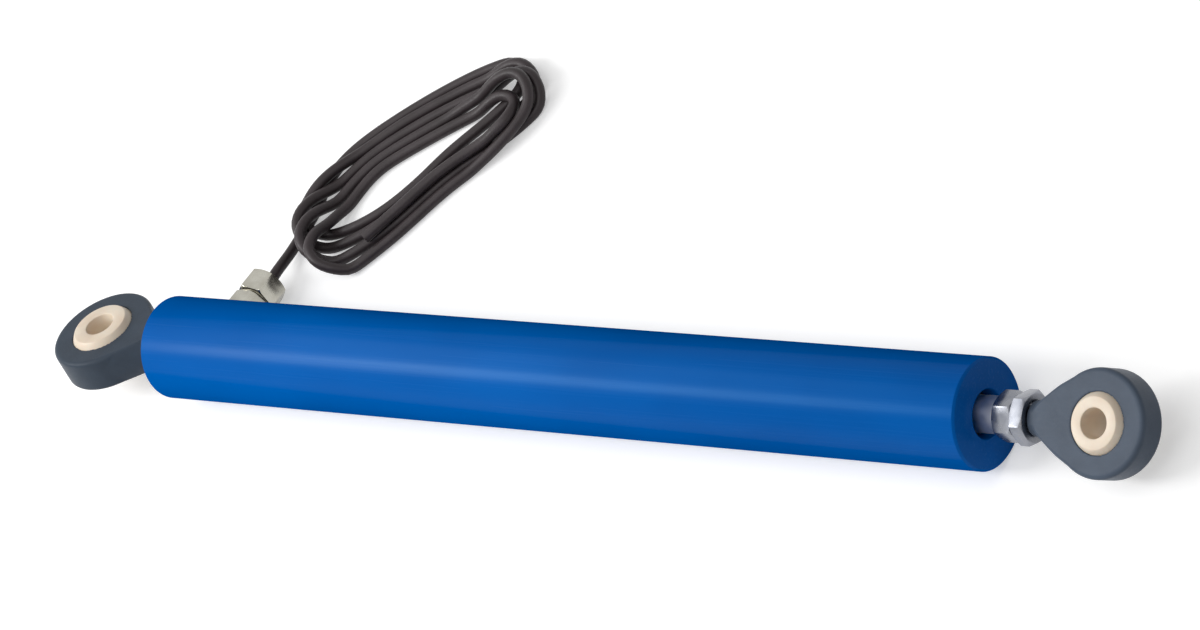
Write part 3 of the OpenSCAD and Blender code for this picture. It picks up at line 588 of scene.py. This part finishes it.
# Cable
# The cable is a thin round lead with a dark sheath. It leaves the gland level, comes down to
# the table and lies there as a coil of flat oval turns, each on or beside the last.
CABLE_D, TABLE_Z = 3.4, -15.0
LEAD = [(43.5, 28.99, -9.14), (43.4, 33, -10.4), (43.2, 37.5, -11.8), (42.9, 42, -12.8),
        (42.8, 46.5, -13.3), (43.6, 51, -13.3), (45.5, 55, -13.3)]
# The turns are laid out on the coil's own axes: u runs from its near end to its far end, and
# v to its left.
COIL_X, COIL_Y, COIL_TURN = 80.5, 71.0, math.radians(46)
# for each turn, the u and v of its near end and how blunt its left side leaves it, its left side's
# v and how blunt it runs in to the far end, the far end's u and v, and how blunt its right side
# leaves that and its right side's v
TURNS = [(-42.0, 14.0, 2.0, 26.7, 1.5, 44.3, 8.4, 0.9, -5.1),
         (-41.5, 11.0, 1.8, 23.3, 1.6, 45.6, 2.6, 1.5, -8.6),
         (-43.3, 4.5, 1.7, 19.9, 1.5, 46.3, -4.2, 1.9, -12.1),
         (-44.0, -5.0, 1.5, 16.5, 1.2, 43.0, -1.5, 2.4, -15.6),
         (-43.4, -15.5, 1.3, 13.1, 1.1, 43.2, -6.0, 2.6, -11.2)]
LEFT_U, RIGHT_U, RIGHT_BLUNT = -13, 0, 2.2
FIRST_BEND = [(-33.5, 18.5), (-28.5, 23.2), (-21, 26.2)]
FREE_END = [(-8, 0), (-15, 0), (-21, -0.4), (-26, -0.6)]
WAIST_U, WAIST_WIDTH, WAIST = 6.0, 17.0, 3.4
STEP, LEAST_BEND, DRAPE_BEND = 1.5, 7.4, 9.0


def side_of_turn(mid_u, mid_v, tip_u, tip_v, blunt, to_tip=True):
    """a quarter of a blunt oval, from the middle of a side to the tip or back"""
    points = []
    for n in range(14):
        x = math.sin(math.pi / 2 * n / 14)
        points.append((mid_u + (tip_u - mid_u) * x, tip_v + (mid_v - tip_v) * math.sqrt(1 - x ** blunt)))
    points.append((tip_u, tip_v))
    return points if to_tip else points[::-1]


flat = []
for n, (near_u, near_v, near_blunt, left, left_blunt, far_u, far_v, blunt, right) in enumerate(TURNS):
    flat += side_of_turn(LEFT_U, left, near_u, near_v, near_blunt, False)[1:] if n else FIRST_BEND
    flat += side_of_turn(LEFT_U, left, far_u, far_v, left_blunt)
    flat += side_of_turn(RIGHT_U, right, far_u, far_v, blunt, False)[1:]
    if n < len(TURNS) - 1:
        flat += side_of_turn(RIGHT_U, right, TURNS[n + 1][0], TURNS[n + 1][1], RIGHT_BLUNT)
    else:
        flat += [(u, right + v) for u, v in FREE_END]
# the right side of the coil is pressed in at its waist
coil = []
for u, v in flat:
    if v < 4 and abs(u) < 36:
        v += WAIST * math.exp(-((u - WAIST_U) / WAIST_WIDTH) ** 2)
    coil.append((COIL_X + u * math.cos(COIL_TURN) - v * math.sin(COIL_TURN),
                 COIL_Y + u * math.sin(COIL_TURN) + v * math.cos(COIL_TURN)))


def even_steps(points, step):
    """the same line with its points a step apart"""
    out, left = [points[0]], step
    for a, b in zip(points, points[1:]):
        length = math.dist(a, b)
        at = 0.0
        while length - at > left:
            at += left
            out.append(tuple(p + (q - p) * at / length for p, q in zip(a, b)))
            left = step
        left -= length - at
    return out


def relax(values, rounds):
    """evens out a row of values, and keeps its two ends"""
    for _ in range(rounds):
        values = ([values[0]] + [(a + 2 * b + c) / 4 for a, b, c in
                                 zip(values, values[1:], values[2:])] + [values[-1]])
    return values


def bend_radius(a, b, c):
    """the radius of the circle through three points"""
    ab, bc, ca = math.dist(a, b), math.dist(b, c), math.dist(c, a)
    half = (ab + bc + ca) / 2
    return ab * bc * ca / (4 * math.sqrt(max(half * (half - ab) * (half - bc) * (half - ca), 1e-12)))


def ease_bends(line, least, rounds):
    """opens out every bend that is tighter than the cable takes"""
    for _ in range(rounds):
        eased = line[:]
        for n in range(2, len(line) - 2):
            if bend_radius(line[n - 2], line[n], line[n + 2]) < least:
                eased[n] = tuple((a + 2 * b + c) / 4 for a, b, c in
                                 zip(line[n - 1], line[n], line[n + 1]))
        line = eased
    return line


route = even_steps([p[:2] for p in LEAD] + coil, STEP)
route = list(zip(relax([p[0] for p in route], 14), relax([p[1] for p in route], 14)))
route = even_steps(ease_bends(route, LEAST_BEND, 200), STEP)
xs, ys = [p[0] for p in route], [p[1] for p in route]
# the lead comes down from the gland, and the rest lies on the table or on what it crosses
low = []
for n, y in enumerate(ys):
    height = TABLE_Z + CABLE_D / 2
    if n < 25:
        for a, b in zip(LEAD, LEAD[1:]):
            if a[1] <= y <= b[1]:
                height = a[2] + (b[2] - a[2]) * (y - a[1]) / (b[1] - a[1])
    low.append(height)
crossings = []
apart = int(5 * CABLE_D / STEP)
for i in range(len(xs)):
    for j in range(i - apart):
        gap = (xs[i] - xs[j]) ** 2 + (ys[i] - ys[j]) ** 2
        if gap < CABLE_D ** 2:
            crossings.append((i, j, math.sqrt(CABLE_D ** 2 - gap)))
# to either side of a crossing it falls away no faster than its stiffness lets it
reach = int(math.sqrt(2 * DRAPE_BEND * CABLE_D) / STEP)
falls = [(n * STEP) ** 2 / (2 * DRAPE_BEND) for n in range(reach + 1)]
heights = low[:]
for _ in range(30):
    laid = low[:]
    for i, j, lift in crossings:
        laid[i] = max(laid[i], heights[j] + lift)
    heights = [max(laid[j] - falls[abs(i - j)]
                   for j in range(max(0, i - reach), min(len(laid), i + reach + 1)))
               for i in range(len(laid))]
heights = relax(heights, 4)
points = list(zip(xs, ys, heights))

curve = bpy.data.curves.new("cable", "CURVE")
curve.dimensions = "3D"
curve.bevel_depth = CABLE_D / 2 * MM
curve.bevel_resolution = 6
curve.use_fill_caps = True
spline = curve.splines.new("POLY")
spline.points.add(len(points) - 1)
for point, place in zip(spline.points, points):
    point.co = [c * MM for c in place] + [1]
cable_piece = bpy.data.objects.new("cable", curve)
scene.collection.objects.link(cable_piece)

# Extruded polyurethane sheath: a warm dark grey with a soft, faintly uneven gloss.
sheath = moulded("extruded_sheath", "#3A3335", "#2F292A", 0.42, grain_mm=0.8, shine=0.25)
dress(cable_piece, sheath, "housing", "cable_sheath", "cable_lead", "cable_coil")

# Hidden pieces
# What lies inside the tube keeps its solid from the frame, and gets the finish of its
# own material: rubber, plastic, wire, ferrite, iron and the board with its parts.

# Bright turned metals: stainless for screws, stem and clip, drawn aluminium for the capacitors'
# cans, tin on the pins, and a darker grey for the rolled soft iron of the screen.
stainless = turned_metal("stainless_steel", "#C7C8C8", "#B5B6B7", 0.25, 0.8)
can_aluminium = turned_metal("drawn_can_aluminium", "#CFD1D3", "#BFC1C4", 0.3, 0.6)
tinned = turned_metal("tinned_brass", "#D6D3C8", "#C4C0B2", 0.28, 0.6)
soft_iron = turned_metal("soft_iron", "#8E8D8B", "#7C7B79", 0.4, 1.0)
# Turned and moulded plastics: a tan bearing plastic, an ivory former, and a black nylon cradle.
bearing_plastic = moulded("bearing_plastic", "#B08A3C", "#A17C32", 0.45)
former_plastic = moulded("former_plastic", "#E4E0D2", "#D8D3C3", 0.45)
cradle_plastic = moulded("cradle_nylon", "#2B2D30", "#222427", 0.5)
# The board's green lacquer is smoother than the epoxy of its chip, and the trimmers are blue.
laminate = moulded("board_laminate", "#1F6B45", "#185A39", 0.35, grain_mm=0.6)
chip_black = moulded("chip_epoxy", "#222224", "#1A1A1C", 0.5, grain_mm=0.3)
trimmer_blue = moulded("trimmer_case", "#2F66A8", "#265A99", 0.4)
# The cores are insulated in dark red.
wire_insulation = moulded("wire_insulation", "#8E2F2A", "#7C2722", 0.4)
# Sintered ferrite: ground, charcoal grey, with fine pores.
ferrite = moulded("sintered_ferrite", "#3B3A3C", "#2E2D30", 0.5, grain_mm=0.5, depth_mm=0.03)

# Enamelled copper winding: glossy reddish wires, 0.2 mm apart on the real coil and drawn 0.5 mm
# apart so that they show. The colour darkens in the grooves between the wires as painted shade.
WIRE_MM = 0.5
copper, tree = new_material("enamelled_copper")
place = add(tree, "TexCoord")
wires = add(tree, "TexWave", {"bands_direction": "X", "Scale": 2 * math.pi / (20 * WIRE_MM * MM)},
            Vector=place.outputs["Object"])
enamel_and_crease_shade = add(tree, "ValToRGB", {"stops": ((0.1, "#6B3317"), (0.6, "#B5652F"))}, Fac=wires.outputs["Fac"])
relief = add(tree, "Bump", {"Strength": 0.6, "Distance": 0.05 * MM}, Height=wires.outputs["Fac"])
shader = add(tree, "BsdfPrincipled", {"Metallic": 0.8, "Roughness": 0.3}, Base_Color=enamel_and_crease_shade, Normal=relief)
add(tree, "OutputMaterial", Surface=shader)

FINISHES = {"plug_o_ring": black_rubber, "guide_bush": bearing_plastic, "packing_ring": black_rubber,
            "coil_former": former_plastic, "rear_winding": copper, "front_winding": copper,
            "coil_pins": tinned, "shield_sleeve": soft_iron, "board_cradle": cradle_plastic,
            "circuit_board": laminate, "board_screws": stainless, "driver_chip": chip_black,
            "capacitors": can_aluminium, "trimmers": trimmer_blue, "gland_seal": black_rubber,
            "cable_tail": sheath, "core_wires": wire_insulation, "guide_ring": former_plastic,
            "core_stem": stainless, "ferrite_core": ferrite, "stem_clip": stainless}
for node, material in FINISHES.items():
    solid = bpy.data.objects[node]
    solid.data.materials.clear()
    solid.data.materials.append(material)

# Floor and backdrop
# A plain pale sweep of paper. Its colour is lifted for the rays that see the background,
# so that it reads as white and still keeps the object's shadow.
floor = bmesh.new()
bmesh.ops.create_grid(floor, x_segments=1, y_segments=1, size=4000)
bmesh.ops.translate(floor, vec=(0, 0, TABLE_Z), verts=floor.verts)
floor_piece = make_piece("floor", floor, Matrix.Scale(MM, 4))


def choose(tree, plain, seen):
    """shows one shader to the camera, to mirrors and through glass, and the plain one to the rest"""
    rays = add(tree, "LightPath")
    direct = add(tree, "Math", {"operation": "MAXIMUM"})
    tree.links.new(rays.outputs["Is Camera Ray"], direct.inputs[0])
    tree.links.new(rays.outputs["Is Glossy Ray"], direct.inputs[1])
    any_ray = add(tree, "Math", {"operation": "MAXIMUM"})
    tree.links.new(direct.outputs["Value"], any_ray.inputs[0])
    tree.links.new(rays.outputs["Is Transmission Ray"], any_ray.inputs[1])
    choice = add(tree, "MixShader", Fac=any_ray)
    tree.links.new(plain.outputs[0], choice.inputs[1])
    tree.links.new(seen.outputs[0], choice.inputs[2])
    return choice


paper, tree = new_material("white_paper")
diffuse = add(tree, "BsdfDiffuse", {"Color": paint("#E2E2E2")})
glow = add(tree, "Emission", {"Color": (1, 1, 1, 1), "Strength": 0.42})
lifted = add(tree, "AddShader")
tree.links.new(diffuse.outputs["BSDF"], lifted.inputs[0])
tree.links.new(glow.outputs["Emission"], lifted.inputs[1])
add(tree, "OutputMaterial", Surface=choose(tree, diffuse, lifted))
floor_piece.data.materials.append(paper)

world = bpy.data.worlds.new("studio")
scene.world = world
world.use_nodes = True
tree = world.node_tree
tree.nodes.clear()
room = add(tree, "Background", {"Color": (1, 1, 1, 1), "Strength": 0.22})
white = add(tree, "Background", {"Color": (1, 1, 1, 1), "Strength": 1.0})
add(tree, "OutputWorld", Surface=choose(tree, room, white))


# Lamps
# Four softboxes. The key hangs over the front end and a fill stands before the tube; the wide
# one and the strip beyond the rear end draw the pale streak along its upper side.
def softbox(name, place, length, width, power, target):
    """a lamp whose long side lies along the tube"""
    data = bpy.data.lights.new(name, "AREA")
    data.shape = "RECTANGLE"
    data.size = length
    data.size_y = width
    data.energy = power
    lamp = bpy.data.objects.new(name, data)
    scene.collection.objects.link(lamp)
    out = (Vector(place) - Vector(target)).normalized()
    along = (Vector((1, 0, 0)) - out * out.x).normalized()
    lamp.matrix_world = Matrix((along, out.cross(along), out)).transposed().to_4x4()
    lamp.location = place


MID_TUBE, REAR_END = (0.18, 0, 0), (0, 0, 0)
softbox("key", (0.45, -0.3, 1.1), 0.7, 0.8, 3.3, MID_TUBE)
softbox("front_fill", (0.2, -1.1, 0.5), 0.8, 0.6, 2.0, MID_TUBE)
softbox("overhead", (-0.72, -0.19, 1.08), 1.1, 1.2, 7, REAR_END)
softbox("strip", (-0.72, -0.55, 0.953), 1.1, 0.35, 10, REAR_END)

scene.view_settings.view_transform = "Standard"
